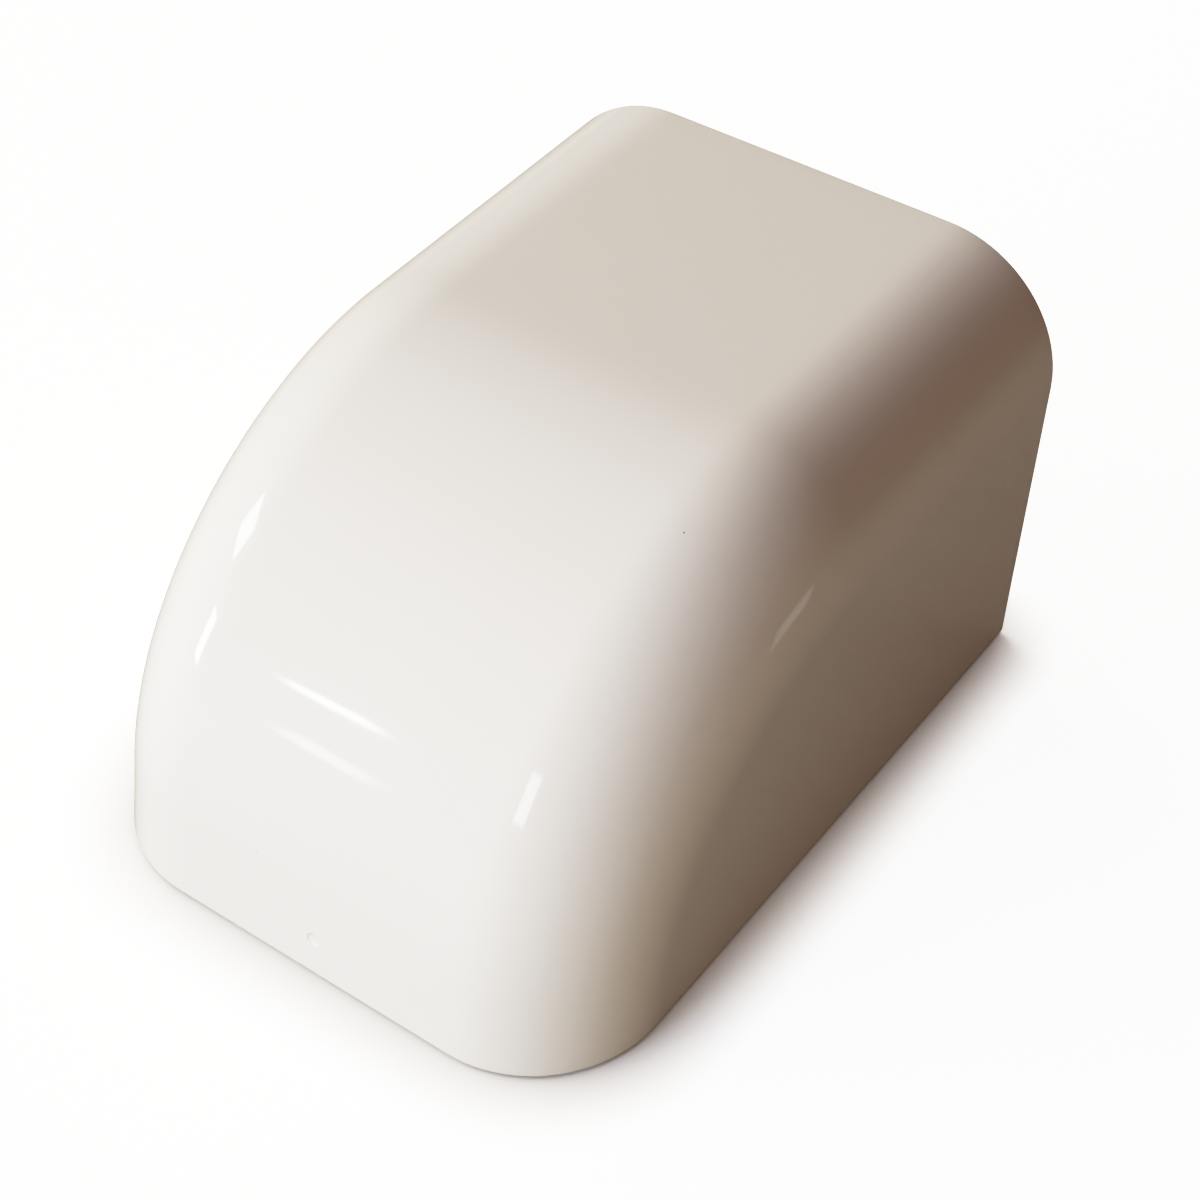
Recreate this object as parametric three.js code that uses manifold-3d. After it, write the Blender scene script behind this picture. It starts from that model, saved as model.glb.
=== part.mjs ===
// A gymnast's chalk block in its case. The block stands on a dust grid in a low tray, under a
// glossy moulded cover whose rim reaches down to the resting surface and which lifts straight off.
//
// Millimetres, +Z up. The origin is on the resting surface, under the middle of the cover.
// The rounded nose faces -Y and the flat back faces +Y. Left and right are those of someone
// facing the nose, so +X is right.

import * as THREE from "three";
import { mergeVertices } from "three/addons/utils/BufferGeometryUtils.js";
import Module from "manifold-3d";

const wasm = await Module();
wasm.setup();

// Driving dimensions of the cover
const COVER_LENGTH = 90;
const COVER_WIDTH = 68;
const COVER_HEIGHT = 52.5;
const COVER_WALL = 2;
const EDGE_RADIUS = 15.5;
const NOSE_DEPTH = 42;
const NOSE_DROP = 40;
const RIM_HEIGHT = 0.3;
const TOP_SLOPE = THREE.MathUtils.degToRad(1.5);
const FRONT_LEAN = THREE.MathUtils.degToRad(7);
const SIDE_DRAFT = THREE.MathUtils.degToRad(1);
const PLAN_TAPER = THREE.MathUtils.degToRad(0.9);

// Driving dimensions of the chalk block, a common two-ounce size
const BLOCK_SIDE = 52;
const BLOCK_HEIGHT = 34;
const BLOCK_EDGE = 0.8;

// Gap left wherever two pieces touch, and how deep a feature is rooted in its own piece
const TOUCH_GAP = 0.3;
const ROOT_DEPTH = 0.8;

// Facets along the cover's big curve, across its rounded edges and round other curves
const NOSE_STEPS = 22;
const EDGE_STEPS = 9;
const CORNER_STEPS = 10;
const FOOT_STEPS = 32;

// Places worked out from the cover
const BACK_Y = COVER_LENGTH / 2;
const FRONT_Y = -COVER_LENGTH / 2;
const HALF_WIDTH = COVER_WIDTH / 2;
const CUT_MARGIN = 20;

// The tray, measured inwards from the cover's outer face and up from the surface
const TRAY_BOTTOM = 0.6;
const FLOOR_THICKNESS = 1.6;
const FLOOR_TOP = TRAY_BOTTOM + FLOOR_THICKNESS;
const FLANGE_INSET = COVER_WALL + 0.4;
const LIP_INSET = 4.3;
const LIP_WALL = 1.5;
const LIP_TOP = 10.5;
const BACK_CORNER = 1.5;
const SEAT_RIB_WIDTH = 2.4;
const SEAT_CLEARANCE = 0.6;

// The dust seal, in a groove round the tray's lip and out to the cover's wall
const SEAL_BOTTOM = 6.3;
const SEAL_TOP = 8.5;
const SEAL_GROOVE = 0.6;

// Dust grid
const GRID_RUNNER_HEIGHT = 1.4;
const GRID_PLATE = 1.6;
const GRID_SIDE = 51;
const GRID_SLOT_COUNT = 8;
const GRID_SLOT_WIDTH = 3;
const GRID_SLOT_LENGTH = 44;
const GRID_RUNNER_WIDTH = 1.8;
const GRID_RUNNER_SPACING = 20;

// Stack of heights inside the case
const GRID_BOTTOM = FLOOR_TOP + TOUCH_GAP;
const GRID_TOP = GRID_BOTTOM + GRID_RUNNER_HEIGHT + GRID_PLATE;
const BLOCK_BOTTOM = GRID_TOP + TOUCH_GAP;
const BLOCK_TOP = BLOCK_BOTTOM + BLOCK_HEIGHT;
const BLOCK_BACK_Y = BACK_Y - LIP_INSET - LIP_WALL - SEAT_CLEARANCE;
const BLOCK_CENTRE_Y = BLOCK_BACK_Y - BLOCK_SIDE / 2;
const BLOCK_FRONT_Y = BLOCK_BACK_Y - BLOCK_SIDE;

// Foam pad under the cover's roof
const PAD_SIDE = 40;

// Feet
const FOOT_RADIUS = 4.5;
const FOOT_THICKNESS = 1;
const FOOT_POCKET_CLEARANCE = 0.3;
const FOOT_X = 21;
const FOOT_FRONT_Y = -29;
const FOOT_BACK_Y = 33;

// Ribs inside the cover, from its roof down to the tray's lip, which carries them
const RIB_WIDTH = 2;
const RIB_REACH = 3.7;
const RIB_BOTTOM = LIP_TOP + TOUCH_GAP;
const SIDE_RIB_YS = [-14, 12, 34];
const BACK_RIB_XS = [-17, 17];

const MATERIALS = {
  cover: material(0xf4f3f0, 0.12),
  seal: material(0x8f9496, 0.55),
  foam: material(0x3c3f42, 0.95),
  tray: material(0xd9dbdb, 0.42),
  grid: material(0xc4c8c9, 0.45),
  chalk: material(0xf3f2ee, 0.95),
  foot: material(0x2b2c2e, 0.8),
};

function material(color, roughness) {
  return new THREE.MeshStandardMaterial({ color, roughness, metalness: 0 });
}

// ---- Solids: three.js geometry in and out of manifold-3d ----

function solidFrom(geometry) {
  const bare = geometry.clone();
  bare.deleteAttribute("normal");
  bare.deleteAttribute("uv");
  const merged = mergeVertices(bare);
  const vertProperties = Float32Array.from(merged.attributes.position.array);
  const triVerts = Uint32Array.from(merged.index.array);
  return new wasm.Manifold(new wasm.Mesh({ numProp: 3, vertProperties, triVerts }));
}

function geometryFrom(solid) {
  const mesh = solid.getMesh();
  const geometry = new THREE.BufferGeometry();
  geometry.setAttribute("position", new THREE.BufferAttribute(mesh.vertProperties, 3));
  geometry.setIndex(new THREE.BufferAttribute(mesh.triVerts, 1));
  geometry.computeVertexNormals();
  return geometry;
}

function box(low, high) {
  const size = high.map((value, i) => value - low[i]);
  const centre = high.map((value, i) => (value + low[i]) / 2);
  const geometry = new THREE.BoxGeometry(...size);
  geometry.translate(...centre);
  return solidFrom(geometry);
}

// A flat outline in plan, raised between two heights
function prism(shape, bottom, top) {
  const options = { depth: top - bottom, bevelEnabled: false, curveSegments: CORNER_STEPS };
  const geometry = new THREE.ExtrudeGeometry(shape, options);
  geometry.translate(0, 0, bottom);
  return solidFrom(geometry);
}

// Turns a shape drawn in (y, z) and extruded by depth, so that it runs across the case
function turnAcross(geometry, depth) {
  const shapeXToY = new THREE.Vector3(0, 1, 0);
  const shapeYToZ = new THREE.Vector3(0, 0, 1);
  const depthToX = new THREE.Vector3(1, 0, 0);
  geometry.translate(0, 0, -depth / 2);
  return geometry.applyMatrix4(new THREE.Matrix4().makeBasis(shapeXToY, shapeYToZ, depthToX));
}

// ---- The cover's outer form ----

// Side profile in (y, z): a straight nose face and a straight roof joined by a quarter ellipse
function coverProfile() {
  const alongRoof = new THREE.Vector2(Math.cos(TOP_SLOPE), Math.sin(TOP_SLOPE));
  const upNose = new THREE.Vector2(Math.sin(FRONT_LEAN), Math.cos(FRONT_LEAN));
  const base = new THREE.Vector2(FRONT_Y, RIM_HEIGHT);
  const roofEnd = new THREE.Vector2(BACK_Y, COVER_HEIGHT);
  const toRoofEnd = roofEnd.clone().sub(base);
  const rise = toRoofEnd.cross(alongRoof) / upNose.cross(alongRoof);
  const corner = base.clone().addScaledVector(upNose, rise);
  const roofStart = corner.clone().addScaledVector(alongRoof, NOSE_DEPTH);
  const noseEnd = corner.clone().addScaledVector(upNose, -NOSE_DROP);
  return { base, alongRoof, upNose, corner, roofStart, noseEnd, roofEnd };
}

function coverArc(profile) {
  const towardsNose = profile.noseEnd.clone().sub(profile.corner);
  const towardsRoof = profile.roofStart.clone().sub(profile.corner);
  const points = [];
  for (let i = 0; i <= NOSE_STEPS; i += 1) {
    const angle = (i / NOSE_STEPS) * (Math.PI / 2);
    const point = profile.corner.clone();
    point.addScaledVector(towardsRoof, 1 - Math.sin(angle));
    point.addScaledVector(towardsNose, 1 - Math.cos(angle));
    points.push(point);
  }
  return points;
}

// The side walls lean in as they rise and close in a little towards the nose
function narrowing(y, z) {
  const fromRise = Math.tan(SIDE_DRAFT) * z / HALF_WIDTH;
  const fromNose = Math.tan(PLAN_TAPER) * (BACK_Y - y) / HALF_WIDTH;
  return (1 - fromRise) * (1 - fromNose);
}

// The profile swept across the width with both of its edges rounded. inset shrinks it evenly.
// It runs on past the base and the back, where plane cuts end it.
function coverForm(inset) {
  const profile = coverProfile();
  const arc = coverArc(profile);
  const pastRoof = profile.roofEnd.clone().addScaledVector(profile.alongRoof, CUT_MARGIN);
  const pastNose = profile.base.clone().addScaledVector(profile.upNose, -CUT_MARGIN);
  const outline = [pastRoof, ...arc, pastNose, new THREE.Vector2(pastRoof.x, pastNose.y)];
  const edgeRadius = EDGE_RADIUS - inset;
  const depth = COVER_WIDTH - 2 * EDGE_RADIUS;
  const geometry = new THREE.ExtrudeGeometry(new THREE.Shape(outline), {
    depth,
    bevelEnabled: true,
    bevelThickness: edgeRadius,
    bevelSize: edgeRadius,
    bevelOffset: -EDGE_RADIUS,
    bevelSegments: EDGE_STEPS,
  });
  turnAcross(geometry, depth);
  const position = geometry.attributes.position;
  for (let i = 0; i < position.count; i += 1) {
    const scale = narrowing(position.getY(i), position.getZ(i));
    position.setX(i, position.getX(i) * scale);
  }
  return solidFrom(geometry);
}

function keepBetween(backY, lowZ) {
  const reach = COVER_LENGTH;
  return box([-reach, -reach, lowZ], [reach, backY, reach]);
}

// ---- Plan outlines that follow the cover's wall ----

// How far the cover's nose face has moved back at a height
function noseSetBack(z) {
  return Math.tan(FRONT_LEAN) * (z - RIM_HEIGHT);
}

// Half the width of the cover's outer face
function halfWidthAt(y, z) {
  return HALF_WIDTH * narrowing(y, z);
}

// The cover's plan at a height, moved inwards by inset: rounded at the nose, square at the back
function planOutline(inset, z, Path = THREE.Shape) {
  const front = FRONT_Y + noseSetBack(z) + inset;
  const back = BACK_Y - inset;
  const radius = EDGE_RADIUS - inset;
  const frontHalf = halfWidthAt(front + radius, z) - inset;
  const backHalf = halfWidthAt(back, z) - inset;
  const corner = BACK_CORNER;
  const outline = new Path();
  outline.moveTo(backHalf, back - corner);
  outline.quadraticCurveTo(backHalf, back, backHalf - corner, back);
  outline.lineTo(corner - backHalf, back);
  outline.quadraticCurveTo(-backHalf, back, -backHalf, back - corner);
  outline.lineTo(-frontHalf, front + radius);
  outline.absarc(radius - frontHalf, front + radius, radius, Math.PI, 1.5 * Math.PI, false);
  outline.absarc(frontHalf - radius, front + radius, radius, 1.5 * Math.PI, 2 * Math.PI, false);
  outline.closePath();
  return outline;
}

// ---- Pieces ----

function coverRibs() {
  const ribs = [];
  for (const y of SIDE_RIB_YS) {
    for (const side of [-1, 1]) {
      const wallX = halfWidthAt(y, RIB_BOTTOM);
      const innerX = wallX - COVER_WALL - RIB_REACH;
      const xs = [side * innerX, side * wallX].sort((a, b) => a - b);
      const low = [xs[0], y - RIB_WIDTH / 2, RIB_BOTTOM];
      const high = [xs[1], y + RIB_WIDTH / 2, COVER_HEIGHT];
      ribs.push(box(low, high));
    }
  }
  for (const x of BACK_RIB_XS) {
    const low = [x - RIB_WIDTH / 2, BACK_Y - COVER_WALL - RIB_REACH, RIB_BOTTOM];
    const high = [x + RIB_WIDTH / 2, BACK_Y, COVER_HEIGHT];
    ribs.push(box(low, high));
  }
  return ribs;
}

function makeCover() {
  const outer = coverForm(0).intersect(keepBetween(BACK_Y, RIM_HEIGHT));
  const cavity = coverForm(COVER_WALL).intersect(keepBetween(BACK_Y - COVER_WALL, -CUT_MARGIN));
  let cover = outer.subtract(cavity);
  for (const rib of coverRibs()) {
    cover = cover.add(rib.intersect(outer));
  }
  return geometryFrom(cover);
}

// Height of the cover's inner face above the middle of the case
function ceilingAt(y) {
  const profile = coverProfile();
  const roof = COVER_HEIGHT - COVER_WALL - Math.tan(TOP_SLOPE) * (BACK_Y - y);
  const past = Math.max(0, (profile.roofStart.x - y) / NOSE_DEPTH);
  return roof - NOSE_DROP * (1 - Math.sqrt(1 - past * past));
}

function makePressurePad() {
  const low = BLOCK_TOP + TOUCH_GAP;
  const ys = [-PAD_SIDE / 2, -PAD_SIDE / 4, PAD_SIDE / 2].map((y) => y + BLOCK_CENTRE_Y);
  const outline = ys.map((y) => new THREE.Vector2(y, ceilingAt(y) - 2 * TOUCH_GAP));
  outline.unshift(new THREE.Vector2(ys[0], low));
  outline.push(new THREE.Vector2(ys[2], low));
  const options = { depth: PAD_SIDE, bevelEnabled: false };
  const geometry = new THREE.ExtrudeGeometry(new THREE.Shape(outline), options);
  return turnAcross(geometry, PAD_SIDE);
}

// A ring in plan between two insets, raised between two heights
function planRing(outerInset, innerInset, bottom, top) {
  const ring = planOutline(outerInset, SEAL_TOP);
  ring.holes.push(planOutline(innerInset, SEAL_TOP, THREE.Path));
  return prism(ring, bottom, top);
}

function makeSealRing() {
  const innerInset = LIP_INSET + SEAL_GROOVE - TOUCH_GAP;
  return geometryFrom(planRing(COVER_WALL + TOUCH_GAP, innerInset, SEAL_BOTTOM, SEAL_TOP));
}

function footPlaces() {
  return [
    ["foot_front_left", -FOOT_X, FOOT_FRONT_Y],
    ["foot_front_right", FOOT_X, FOOT_FRONT_Y],
    ["foot_rear_left", -FOOT_X, FOOT_BACK_Y],
    ["foot_rear_right", FOOT_X, FOOT_BACK_Y],
  ];
}

function disc(radius, bottom, top) {
  const geometry = new THREE.CylinderGeometry(radius, radius, top - bottom, FOOT_STEPS);
  geometry.rotateX(Math.PI / 2);
  geometry.translate(0, 0, (top + bottom) / 2);
  return geometry;
}

// Short ribs that reach in from the lip and keep the block in the middle of its seat
function seatRibs() {
  const reach = BLOCK_SIDE / 2 + SEAT_CLEARANCE;
  const ribs = [];
  for (const offset of [-BLOCK_SIDE / 3, BLOCK_SIDE / 3]) {
    const y = BLOCK_CENTRE_Y + offset;
    for (const side of [-1, 1]) {
      const lipX = halfWidthAt(y, LIP_TOP) - LIP_INSET - LIP_WALL + ROOT_DEPTH;
      const xs = [side * reach, side * lipX].sort((a, b) => a - b);
      const low = [xs[0], y - SEAT_RIB_WIDTH / 2, FLOOR_TOP - ROOT_DEPTH];
      const high = [xs[1], y + SEAT_RIB_WIDTH / 2, LIP_TOP];
      ribs.push(box(low, high));
    }
  }
  return ribs;
}

// Low wall between the block's seat and the crumb well under the nose
function wellDivider() {
  const backY = BLOCK_FRONT_Y - SEAT_CLEARANCE;
  const halfX = halfWidthAt(backY, LIP_TOP) - LIP_INSET - LIP_WALL + ROOT_DEPTH;
  const low = [-halfX, backY - LIP_WALL, FLOOR_TOP - ROOT_DEPTH];
  return box(low, [halfX, backY, LIP_TOP]);
}

function makeBaseTray() {
  const lipInner = LIP_INSET + LIP_WALL;
  const grooveInner = LIP_INSET + SEAL_GROOVE;
  const grooveBottom = SEAL_BOTTOM - TOUCH_GAP;
  const grooveTop = SEAL_TOP + TOUCH_GAP;
  let tray = prism(planOutline(FLANGE_INSET, FLOOR_TOP), TRAY_BOTTOM, FLOOR_TOP);
  tray = tray.add(planRing(LIP_INSET, lipInner, FLOOR_TOP - ROOT_DEPTH, LIP_TOP));
  tray = tray.subtract(planRing(COVER_WALL, grooveInner, grooveBottom, grooveTop));
  for (const rib of [...seatRibs(), wellDivider()]) {
    tray = tray.add(rib);
  }
  const pocketRadius = FOOT_RADIUS + FOOT_POCKET_CLEARANCE;
  const pocketTop = FOOT_THICKNESS + TOUCH_GAP;
  for (const [, x, y] of footPlaces()) {
    const pocket = disc(pocketRadius, 0, pocketTop).translate(x, y, 0);
    tray = tray.subtract(solidFrom(pocket));
  }
  return geometryFrom(tray);
}

function makeDustGrid() {
  const half = GRID_SIDE / 2;
  const plateBottom = GRID_BOTTOM + GRID_RUNNER_HEIGHT;
  const y = BLOCK_CENTRE_Y;
  let grid = box([-half, y - half, plateBottom], [half, y + half, GRID_TOP]);
  const pitch = GRID_SIDE / GRID_SLOT_COUNT;
  for (let i = 0; i < GRID_SLOT_COUNT; i += 1) {
    const x = (i + 0.5) * pitch - half;
    const low = [x - GRID_SLOT_WIDTH / 2, y - GRID_SLOT_LENGTH / 2, 0];
    const high = [x + GRID_SLOT_WIDTH / 2, y + GRID_SLOT_LENGTH / 2, GRID_TOP + TOUCH_GAP];
    grid = grid.subtract(box(low, high));
  }
  for (const step of [-1, 0, 1]) {
    const runnerY = y + step * GRID_RUNNER_SPACING;
    const low = [-half, runnerY - GRID_RUNNER_WIDTH / 2, GRID_BOTTOM];
    const high = [half, runnerY + GRID_RUNNER_WIDTH / 2, plateBottom + ROOT_DEPTH];
    grid = grid.add(box(low, high));
  }
  return geometryFrom(grid);
}

// A pressed block with slightly broken edges
function makeChalkBlock() {
  const flat = BLOCK_SIDE / 2 - BLOCK_EDGE;
  const shape = new THREE.Shape();
  shape.moveTo(-flat, -flat);
  shape.lineTo(flat, -flat);
  shape.lineTo(flat, flat);
  shape.lineTo(-flat, flat);
  shape.closePath();
  const geometry = new THREE.ExtrudeGeometry(shape, {
    depth: BLOCK_HEIGHT - 2 * BLOCK_EDGE,
    bevelEnabled: true,
    bevelThickness: BLOCK_EDGE,
    bevelSize: BLOCK_EDGE,
    bevelSegments: 2,
  });
  return geometry.translate(0, BLOCK_CENTRE_Y, BLOCK_BOTTOM + BLOCK_EDGE);
}

// ---- Assembly ----

function addPiece(parent, name, geometry, look) {
  const mesh = new THREE.Mesh(geometry, look);
  mesh.name = name;
  parent.add(mesh);
  return mesh;
}

const group = new THREE.Group();
const liftingCover = new THREE.Group();
const base = new THREE.Group();
group.add(liftingCover, base);

addPiece(liftingCover, "cover", makeCover(), MATERIALS.cover);
addPiece(liftingCover, "pressure_pad", makePressurePad(), MATERIALS.foam);
addPiece(base, "base_tray", makeBaseTray(), MATERIALS.tray);
addPiece(base, "seal_ring", makeSealRing(), MATERIALS.seal);
addPiece(base, "dust_grid", makeDustGrid(), MATERIALS.grid);
addPiece(base, "chalk_block", makeChalkBlock(), MATERIALS.chalk);
for (const [name, x, y] of footPlaces()) {
  const foot = addPiece(base, name, disc(FOOT_RADIUS, 0, FOOT_THICKNESS), MATERIALS.foot);
  foot.position.set(x, y, 0);
}

export default group;
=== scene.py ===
"""Looks, camera and lights for the chalk block in its case.

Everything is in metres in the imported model's frame: +Z up, the cover's rounded nose towards -Y
and its flat back towards +Y. Sizes that the frame gives are read from it, and the rest are the
case's own dimensions, repeated here in millimetres times MM.
"""
import math
import random

import bmesh
import bpy
from mathutils import Matrix, Vector, noise


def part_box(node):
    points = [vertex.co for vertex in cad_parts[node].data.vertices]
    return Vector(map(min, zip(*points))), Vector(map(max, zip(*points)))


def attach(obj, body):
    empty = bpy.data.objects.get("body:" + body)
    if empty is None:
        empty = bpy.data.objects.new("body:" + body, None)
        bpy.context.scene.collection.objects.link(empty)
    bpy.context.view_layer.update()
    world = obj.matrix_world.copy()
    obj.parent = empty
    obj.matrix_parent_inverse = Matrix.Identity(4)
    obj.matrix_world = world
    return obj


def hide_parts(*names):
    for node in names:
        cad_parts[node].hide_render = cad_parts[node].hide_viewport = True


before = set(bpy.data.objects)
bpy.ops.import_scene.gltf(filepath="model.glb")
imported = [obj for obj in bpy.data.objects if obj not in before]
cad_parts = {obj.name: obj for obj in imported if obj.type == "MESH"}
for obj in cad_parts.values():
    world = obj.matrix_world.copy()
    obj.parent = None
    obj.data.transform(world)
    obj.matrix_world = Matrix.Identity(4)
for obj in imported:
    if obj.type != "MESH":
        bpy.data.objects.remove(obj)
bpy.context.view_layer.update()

MM = 0.001

# The cover's form
COVER_LOW, COVER_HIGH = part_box("cover")
HALF_WIDTH = 34 * MM
COVER_WALL = 2 * MM
EDGE_RADIUS = 15.5 * MM
NOSE_DEPTH = 42 * MM
NOSE_DROP = 40 * MM
TOP_SLOPE = math.radians(1.5)
FRONT_LEAN = math.radians(7)
SIDE_DRAFT = math.radians(1)
PLAN_TAPER = math.radians(0.9)
RIM_ROUND = 0.45 * MM

# The tray, measured inwards from the cover's outer face
TRAY_LOW, TRAY_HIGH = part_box("base_tray")
FLOOR_TOP = TRAY_LOW.z + 1.6 * MM
FLANGE_INSET = 2.4 * MM
LIP_INSET = 4.3 * MM
LIP_WALL = 1.5 * MM
BACK_CORNER = 1.5 * MM
SEAL_GROOVE = 0.6 * MM
SEAT_RIB_WIDTH = 2.4 * MM
SEAT_CLEARANCE = 0.6 * MM
TOUCH_GAP = 0.3 * MM

SEAL_LOW, SEAL_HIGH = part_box("seal_ring")
BLOCK_LOW, BLOCK_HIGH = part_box("chalk_block")
PAD_LOW, PAD_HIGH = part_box("pressure_pad")

# Ribs inside the cover
RIB_WIDTH = 2 * MM
RIB_REACH = 3.7 * MM
RIB_BOTTOM = TRAY_HIGH.z + TOUCH_GAP
SIDE_RIB_YS = [-14 * MM, 12 * MM, 34 * MM]
BACK_RIB_XS = [-17 * MM, 17 * MM]


# ---- Node materials ----

class Nodes:
    """A material's node tree, with short calls to add and join nodes."""

    def __init__(self, name):
        self.material = bpy.data.materials.new(name)
        self.material.use_nodes = True
        self.tree = self.material.node_tree
        self.shader = self.tree.nodes["Principled BSDF"]

    def add(self, kind, **values):
        node = self.tree.nodes.new(kind)
        for key, value in values.items():
            if key in node.inputs:
                node.inputs[key].default_value = value
            else:
                setattr(node, key, value)
        return node

    def join(self, source, output, target, socket):
        self.tree.links.new(source.outputs[output], target.inputs[socket])

    def set(self, **values):
        for key, value in values.items():
            self.shader.inputs[key.replace("_", " ")].default_value = value

    def noise(self, scale, detail=3.0, roughness=0.5):
        coordinates = self.add("ShaderNodeTexCoord")
        texture = self.add("ShaderNodeTexNoise", Scale=scale, Detail=detail, Roughness=roughness)
        self.join(coordinates, "Object", texture, "Vector")
        return texture

    def specks(self, cell, radius, share):
        """1 inside small round specks, one in a share of the cells, and 0 elsewhere."""
        coordinates = self.add("ShaderNodeTexCoord")
        cells = self.add("ShaderNodeTexVoronoi", Scale=1 / cell)
        self.join(coordinates, "Object", cells, "Vector")
        near = self.add("ShaderNodeMath", operation="LESS_THAN")
        near.inputs[1].default_value = radius / cell
        self.join(cells, "Distance", near, 0)
        chosen = self.add("ShaderNodeMath", operation="LESS_THAN")
        chosen.inputs[1].default_value = share
        self.join(cells, "Color", chosen, 0)
        both = self.add("ShaderNodeMath", operation="MULTIPLY")
        self.join(near, "Value", both, 0)
        self.join(chosen, "Value", both, 1)
        return both

    def ramp(self, source, output, stops):
        """Turns a value into colour. stops are (place, grey or colour)."""
        ramp = self.add("ShaderNodeValToRGB")
        elements = ramp.color_ramp.elements
        while len(elements) < len(stops):
            elements.new(0.5)
        for element, (place, colour) in zip(elements, stops):
            element.position = place
            is_grey = isinstance(colour, (int, float))
            element.color = (colour, colour, colour, 1) if is_grey else (*colour, 1)
        self.join(source, output, ramp, "Fac")
        return ramp

    def bump(self, source, output, strength, distance, below=None):
        bump = self.add("ShaderNodeBump", Strength=strength, Distance=distance)
        self.join(source, output, bump, "Height")
        if below is not None:
            self.join(below, "Normal", bump, "Normal")
        return bump


# Sockets of a Mix node set to RGBA, whose names repeat
MIX_FACTOR = 0
MIX_FIRST_COLOUR = 6
MIX_SECOND_COLOUR = 7
MIX_RESULT_COLOUR = 2

DUST = (0.3, 0.28, 0.26, 1)
INNER_WHITE = (0.8, 0.79, 0.775)
TRAY_GREY = (0.66, 0.68, 0.68)
GRID_GREY = (0.52, 0.55, 0.56)
COARSE_GRAIN = 900
FINE_GRAIN = 1800
CLOUD_SHADE = 0.93


def gloss_plastic():
    """Polished white ABS: a hard gloss with faint moulding ripple, rubbed patches and dust."""
    nodes = Nodes("gloss_white_plastic")
    nodes.set(IOR=1.5)
    cloudy = [(0.3, (0.835, 0.825, 0.81)), (0.7, (0.84, 0.83, 0.815))]
    tint = nodes.ramp(nodes.noise(scale=22, detail=2), "Fac", cloudy)
    specks = nodes.specks(cell=4 * MM, radius=0.12 * MM, share=0.12)
    mix = nodes.add("ShaderNodeMix", data_type="RGBA")
    nodes.join(specks, "Value", mix, MIX_FACTOR)
    nodes.join(tint, "Color", mix, MIX_FIRST_COLOUR)
    mix.inputs[MIX_SECOND_COLOUR].default_value = DUST
    nodes.join(mix, MIX_RESULT_COLOUR, nodes.shader, "Base Color")
    rubbed = nodes.noise(scale=60, detail=5, roughness=0.6)
    rough = nodes.ramp(rubbed, "Fac", [(0.35, 0.045), (0.75, 0.09)])
    nodes.join(rough, "Color", nodes.shader, "Roughness")
    ripple_noise = nodes.noise(scale=45, detail=1)
    ripple = nodes.bump(ripple_noise, "Fac", strength=0.12, distance=0.2 * MM)
    fine_noise = nodes.noise(scale=900, detail=2)
    fine = nodes.bump(fine_noise, "Fac", strength=0.03, distance=0.02 * MM, below=ripple)
    nodes.join(fine, "Normal", nodes.shader, "Normal")
    return nodes.material


def satin_plastic(name, colour, grain):
    """Polypropylene with a fine spark-eroded grain and faint cloudiness."""
    nodes = Nodes(name)
    darker = tuple(CLOUD_SHADE * value for value in colour)
    tint = nodes.ramp(nodes.noise(scale=40, detail=3), "Fac", [(0.35, darker), (0.65, colour)])
    nodes.join(tint, "Color", nodes.shader, "Base Color")
    rough = nodes.ramp(nodes.noise(scale=150, detail=4), "Fac", [(0.3, 0.36), (0.7, 0.5)])
    nodes.join(rough, "Color", nodes.shader, "Roughness")
    grain_noise = nodes.noise(scale=grain, detail=2)
    bump = nodes.bump(grain_noise, "Fac", strength=0.25, distance=0.06 * MM)
    nodes.join(bump, "Normal", nodes.shader, "Normal")
    return nodes.material


def silicone():
    """Grey silicone: soft sheen, a little dust held on it."""
    nodes = Nodes("grey_silicone")
    nodes.set(Sheen_Weight=0.15)
    dusty = [(0.42, (0.27, 0.3, 0.31)), (0.72, (0.4, 0.42, 0.42))]
    tint = nodes.ramp(nodes.noise(scale=180, detail=5), "Fac", dusty)
    nodes.join(tint, "Color", nodes.shader, "Base Color")
    rough = nodes.ramp(nodes.noise(scale=90, detail=3), "Fac", [(0.3, 0.45), (0.7, 0.62)])
    nodes.join(rough, "Color", nodes.shader, "Roughness")
    skin = nodes.noise(scale=1500, detail=2)
    bump = nodes.bump(skin, "Fac", strength=0.15, distance=0.03 * MM)
    nodes.join(bump, "Normal", nodes.shader, "Normal")
    return nodes.material


def foam():
    """Charcoal closed-cell foam: round cells of half a millimetre and less, with painted shade
    darkening each cell's hollow.
    """
    nodes = Nodes("charcoal_foam")
    coordinates = nodes.add("ShaderNodeTexCoord")
    cells = nodes.add("ShaderNodeTexVoronoi", Scale=2200.0)
    nodes.join(coordinates, "Object", cells, "Vector")
    # Painted shade: the colour darkens towards each cell's middle, where the bump below makes its
    # hollow.
    charcoal_and_pore_shade = [(0.0, (0.02, 0.022, 0.024)), (0.6, (0.07, 0.075, 0.08))]
    tint = nodes.ramp(cells, "Distance", charcoal_and_pore_shade)
    nodes.join(tint, "Color", nodes.shader, "Base Color")
    rough = nodes.ramp(nodes.noise(scale=300, detail=3), "Fac", [(0.3, 0.85), (0.7, 0.98)])
    nodes.join(rough, "Color", nodes.shader, "Roughness")
    bump = nodes.bump(cells, "Distance", strength=0.8, distance=0.25 * MM)
    nodes.join(bump, "Normal", nodes.shader, "Normal")
    return nodes.material


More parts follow.
